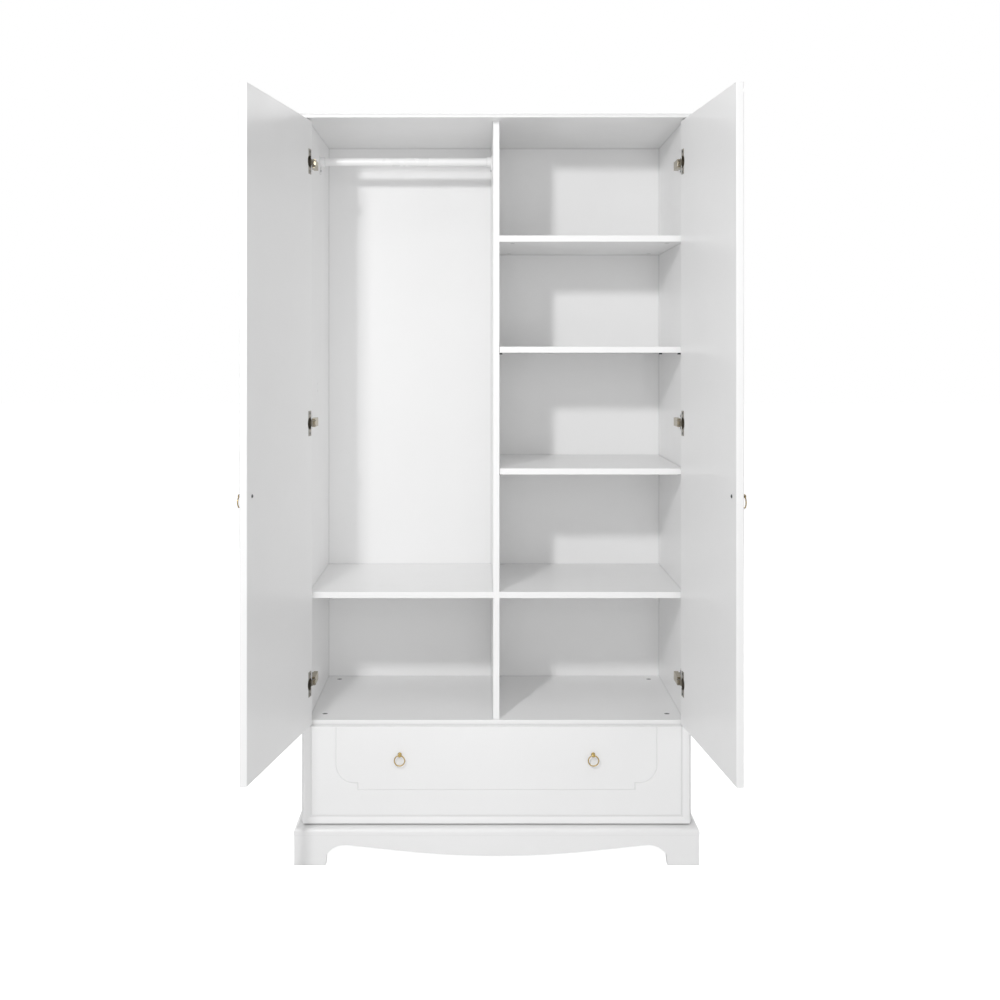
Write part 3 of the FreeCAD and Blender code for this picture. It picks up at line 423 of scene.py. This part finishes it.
def screw_mesh(name, head, thick, shank, long):
    """A round-topped screw with a cross recess; its head's top is at height 0."""
    dome = ((0, 0), (0.35, 0.03), (0.65, 0.14), (0.85, 0.34), (0.96, 0.6), (1, 0.85), (0.97, 1))
    thread = ((1, 0.35), (1, 0.5), (0.78, 0.8))
    profile = [(wide * head, -deep * thick) for wide, deep in dome] + [(shank, -thick)]
    for turn in range(int((long - thick - 1.5) / THREAD_PITCH)):
        at = -thick - THREAD_PITCH * turn
        profile += [(wide * shank, at - deep * THREAD_PITCH) for wide, deep in thread]
    profile += [(0.7 * shank, -long + 0.8), (0, -long)]
    recess = cross_cutters(0.5 * head, 0.17 * head, 0.55 * thick, 0)
    return carve(lathe(profile), recess, name)


def spun(place, degrees):
    """A place turned about its own Z."""
    return place @ Matrix.Rotation(math.radians(degrees), 4, "Z")


def set_screws(node, direction, sizes):
    """Screws whose heads face a direction, in place of a node's plain ones."""
    direction = Vector(direction).normalized()
    groups = solids(node)
    low, high, _ = along(groups[0], direction)
    mesh = screw_mesh(f"{node}_one", *sizes, (high - low) / MM)
    places = []
    for index, points in enumerate(groups):
        _, top, middle = along(points, direction)
        place = standing(middle + direction * top, direction, (0, 0, 1))
        places.append(spun(place, SCREW_SPIN * index))
    set_piece(f"{node}_detailed", mesh, places, node)


def set_sided_screws(node):
    """Wood screws along X, with their heads at the solids' wider ends."""
    mesh = screw_mesh(f"{node}_one", *WOOD_SCREW, WOOD_SCREW_LONG)
    places = []
    for index, points in enumerate(solids(node)):
        low, high, middle = along(points, Vector((1, 0, 0)))
        wide = {}
        for end in (low, high):
            near = [point for point in points if abs(point.x - end) < 1.5 * MM]
            wide[end] = max(abs((point - middle).y) for point in near)
        facing = 1 if wide[high] > wide[low] else -1
        top = high if facing > 0 else low
        place = standing(middle + Vector((top, 0, 0)), (facing, 0, 0), (0, 0, 1))
        places.append(spun(place, SCREW_SPIN * index))
    set_piece(f"{node}_detailed", mesh, places, node)


set_sided_screws("plate_screws")
set_sided_screws("rail_screws")
for side_name, outside in DOOR_FACING.items():
    set_screws(f"cup_screws_{side_name}", -outside, CUP_SCREW)
    set_screws(f"pull_screw_door_{side_name}", -outside, PULL_SCREW)
set_screws("pull_screws_drawer", (0, 1, 0), PULL_SCREW)


def set_cam_locks():
    """Zinc cam discs with a cross slot and a pointer, open side outwards."""
    boards = ["deck_panel", "fixed_shelf_left"]
    boards += ["fixed_shelf_right_lower", "fixed_shelf_right_upper"]
    profile = [(0, -0.3), (5.6, -0.3), (6.0, 0), (7.2, 0)]
    profile += [(7.4, -0.25), (7.4, -11.3), (7.2, -11.5), (0, -11.5)]
    pointer = bar((3.2, -0.5, -1.0), (6.6, 0.5, 1.0))
    recess = cross_cutters(2.9, 1.3, 3.2, -0.3)
    mesh = carve(lathe(profile, 56), recess + [pointer], "cam_one")
    places = []
    for index, points in enumerate(solids("cam_locks")):
        low, high, middle = along(points, Vector((0, 0, 1)))
        inside = (middle.x, middle.y, (low + high) / 2)
        facing = 1
        for board in boards:
            corner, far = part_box(board)
            if all(corner[axis] < inside[axis] < far[axis] for axis in range(3)):
                facing = 1 if far.z - high < low - corner.z else -1
        top = high if facing > 0 else low
        place = standing(middle + Vector((0, 0, top)), (0, 0, facing), (1, 0, 0))
        places.append(spun(place, CAM_SPIN * index + CAM_START))
    set_piece("cam_locks_detailed", mesh, places, "cam_locks")


set_cam_locks()

# ---------------------------------------------------------------- hinge arms

# How far the middle of each is behind an arm's front end, half its straight run, its radius
# and its depth, in millimetres
ADJUSTING_SLOT, SCREW_SEAT = (52, 4.5, 2.3, 1.1), (31, 0.4, 3.4, 0.8)


def slot_cutters(face_x, inward, y, z, half_long, radius, deep):
    """A round-ended slot along Y, cut into a face that looks along X."""
    tools = []
    for end in (-half_long, half_long):
        drill = lathe([(0, -deep), (radius, -deep), (radius, 1.0), (0, 1.0)], 24)
        place = standing(Vector((face_x, y + end, z)) * MM, (inward, 0, 0), (0, 0, 1))
        bmesh.ops.transform(drill, matrix=place, verts=drill.verts)
        tools.append(drill)
    low_x, high_x = sorted((face_x - inward * deep, face_x + inward * 1.0))
    tools.append(bar((low_x, y - half_long, z - radius), (high_x, y + half_long, z + radius)))
    return tools


def set_hinge_arms():
    """The arms with an adjusting slot and a screw seat pressed into their outer faces."""
    body = joined_body("hinge_arms")
    tools = []
    for points in solids("hinge_arms"):
        low = Vector(min(point[axis] for point in points) for axis in range(3)) / MM
        high = Vector(max(point[axis] for point in points) for axis in range(3)) / MM
        inward = 1 if low.x < 0 else -1
        face_x = high.x if inward > 0 else low.x
        middle = (low.z + high.z) / 2
        for behind, *sizes in (ADJUSTING_SLOT, SCREW_SEAT):
            tools += slot_cutters(face_x, inward, low.y + behind, middle, *sizes)
    mesh = carve(body, tools, "hinge_arms_slotted")
    arms = set_piece("hinge_arms_slotted", mesh, [Matrix.Identity(4)], "hinge_arms")
    soften_edges(arms, EDGE_ROUND["plated_steel"])


set_hinge_arms()

# ---------------------------------------------------------------- ring pulls

# Sizes in millimetres
BALL_OUT, BALL_RADIUS, EYE_RADIUS = 11.0, 4.75, 2.5
RING_RADIUS, WIRE_RADIUS = 13.4, 1.6
# The ball's curve leaves its neck 54 degrees below its middle; the steps divide each curve
BALL_START, BALL_STEPS = -54, 16
RING_STEPS, WIRE_STEPS = 96, 20


def post_mesh(name):
    """A stepped rosette, a waisted neck and a ball with the ring's eye through it."""
    profile = [(0, 0), (5.5, 0), (5.5, 0.6), (5.3, 0.9)]
    profile += [(4.7, 1.0), (4.6, 1.35), (4.2, 1.6), (3.4, 1.7), (2.9, 2.1), (2.35, 2.9)]
    profile += [(2.05, 4.0), (2.15, 5.2), (2.6, 6.2), (3.1, 6.7), (3.0, 7.1)]
    start = math.radians(BALL_START)
    for step in range(BALL_STEPS):
        angle = start + (math.pi / 2 - start) * step / BALL_STEPS
        profile.append((BALL_RADIUS * math.cos(angle), BALL_OUT + BALL_RADIUS * math.sin(angle)))
    profile.append((0, BALL_OUT + BALL_RADIUS))
    eye = lathe([(0, -9), (EYE_RADIUS, -9), (EYE_RADIUS, 9), (0, 9)], 32)
    across = Matrix.Rotation(math.pi / 2, 3, "Y")
    bmesh.ops.rotate(eye, cent=(0, 0, 0), matrix=across, verts=eye.verts)
    bmesh.ops.translate(eye, vec=(0, 0, BALL_OUT * MM), verts=eye.verts)
    return carve(lathe(profile, 48), [eye], name)


def ring_mesh(name):
    """A smooth wire ring that hangs from height 0, in the local X-Y plane."""
    body = bmesh.new()
    loops = []
    for step in range(RING_STEPS):
        angle = 2 * math.pi * step / RING_STEPS
        loop = []
        for part in range(WIRE_STEPS):
            turn = 2 * math.pi * part / WIRE_STEPS
            radius = RING_RADIUS + WIRE_RADIUS * math.cos(turn)
            x, y = radius * math.cos(angle), radius * math.sin(angle) - RING_RADIUS
            loop.append(body.verts.new(Vector((x, y, WIRE_RADIUS * math.sin(turn))) * MM))
        loops.append(loop)
    for loop, after in zip(loops, loops[1:] + loops[:1]):
        for part in range(WIRE_STEPS):
            along_part = (part + 1) % WIRE_STEPS
            body.faces.new((loop[part], after[part], after[along_part], loop[along_part]))
    bmesh.ops.recalc_face_normals(body, faces=body.faces)
    return to_mesh(body, name)


POST = post_mesh("pull_post_one")
RING = ring_mesh("pull_ring_one")
for place_name in ("door_left", "door_right", "drawer_left", "drawer_right"):
    what, side_name = place_name.split("_")
    swing = JOINTS[f"{side_name}_{what}_ring_swing"]
    pivot, axis = Vector(swing["pos_m"]), Vector(swing["axis"])
    outward = Vector((0, 0, 1)).cross(axis).normalized()
    foot = standing(pivot - outward * BALL_OUT * MM, outward, -axis)
    hung = standing(pivot, outward, -axis)
    set_piece(f"pull_post_{place_name}_turned", POST, [foot], f"pull_post_{place_name}")
    set_piece(f"pull_ring_{place_name}_wire", RING, [hung], f"pull_ring_{place_name}")

# ---------------------------------------------------------------- stage

EYE = (-0.052, -3.912, 1.3235)
LENS, SENSOR = 46.97, 36.0
SHIFT_X, SHIFT_Y = 0.0235, -0.1465
TONE_GAMMA = 1.3
AIM = (0.0, -0.3, 1.05)
# name, place, size in metres, power in watts: a small key light and soft ones all round
LIGHTS = (
    ("key", (-0.9, -2.93, 2.22), 0.14, 33.0),
    ("soft_right", (2.6, -4.6, 1.7), 2.4, 32.0),
    ("soft_left", (-2.6, -4.6, 1.7), 2.4, 17.0),
    ("soft_front", (0.0, -5.2, 1.3), 2.2, 30.0),
    ("soft_top", (0.0, -2.6, 3.6), 2.0, 15.0),
    ("soft_rear_left", (-3.2, 3.6, 2.0), 2.4, 75.0),
    ("soft_rear_right", (3.2, 3.6, 2.0), 2.4, 75.0),
    ("soft_overhead", (0.0, 1.2, 4.4), 2.4, 60.0),
)
SURROUND_LIGHT = 0.11
FLOOR_HALF = 30.0
FLOOR_GREY, FLOOR_CLOUD = (0.8,) * 3, (0.78,) * 3
# What a camera sees of the floor is lifted to the white of the surround
FLOOR_GLOW = 0.97


def area_light(name, place, size, power):
    """A square light that faces the wardrobe and isn't itself seen."""
    lamp = bpy.data.lights.new(name, "AREA")
    lamp.size = size
    lamp.energy = power
    light = bpy.data.objects.new(name, lamp)
    bpy.context.scene.collection.objects.link(light)
    light.location = place
    light.rotation_euler = (Vector(AIM) - Vector(place)).to_track_quat("-Z", "Y").to_euler()
    light.visible_camera = False


def floor():
    """A pale floor that fades into the white surround, with a soft contact shadow."""
    mesh = bpy.data.meshes.new("floor")
    signs = ((-1, -1), (1, -1), (1, 1), (-1, 1))
    corners = [(x * FLOOR_HALF, y * FLOOR_HALF, 0) for x, y in signs]
    mesh.from_pydata(corners, [], [(0, 1, 2, 3)])
    thing = bpy.data.objects.new("floor", mesh)
    bpy.context.scene.collection.objects.link(thing)
    material, tree, shader = new_material("pale_floor", FLOOR_GREY, 0.9)
    mottle(tree, shader, noise(tree, 2.0, 3.0), FLOOR_GREY, FLOOR_CLOUD)
    path = tree.nodes.new("ShaderNodeLightPath")
    glow = tree.nodes.new("ShaderNodeMath")
    glow.operation = "MULTIPLY"
    glow.inputs[1].default_value = FLOOR_GLOW
    shader.inputs["Emission Color"].default_value = (1, 1, 1, 1)
    tree.links.new(path.outputs["Is Camera Ray"], glow.inputs[0])
    tree.links.new(glow.outputs["Value"], shader.inputs["Emission Strength"])
    mesh.materials.append(material)


def surround():
    """A surround that is seen as white and lights only faintly."""
    world = bpy.data.worlds.new("surround")
    bpy.context.scene.world = world
    world.use_nodes = True
    tree = world.node_tree
    tree.nodes.clear()
    out = tree.nodes.new("ShaderNodeOutputWorld")
    mix = tree.nodes.new("ShaderNodeMixShader")
    path = tree.nodes.new("ShaderNodeLightPath")
    for socket, strength in ((1, SURROUND_LIGHT), (2, 1.0)):
        shade = tree.nodes.new("ShaderNodeBackground")
        shade.inputs["Color"].default_value = (1, 1, 1, 1)
        shade.inputs["Strength"].default_value = strength
        tree.links.new(shade.outputs["Background"], mix.inputs[socket])
    tree.links.new(path.outputs["Is Camera Ray"], mix.inputs["Fac"])
    tree.links.new(mix.outputs["Shader"], out.inputs["Surface"])


def camera():
    """A level camera in front; its shift keeps the uprights parallel."""
    data = bpy.data.cameras.new("camera")
    data.lens = LENS
    data.sensor_width = SENSOR
    data.shift_x = SHIFT_X
    data.shift_y = SHIFT_Y
    thing = bpy.data.objects.new("camera", data)
    bpy.context.scene.collection.objects.link(thing)
    thing.location = EYE
    thing.rotation_euler = (math.radians(90), 0, 0)
    bpy.context.scene.camera = thing


floor()
surround()
camera()
for light_name, light_place, light_size, light_power in LIGHTS:
    area_light(light_name, light_place, light_size, light_power)
bpy.context.scene.view_settings.view_transform = "Standard"
bpy.context.scene.view_settings.gamma = TONE_GAMMA
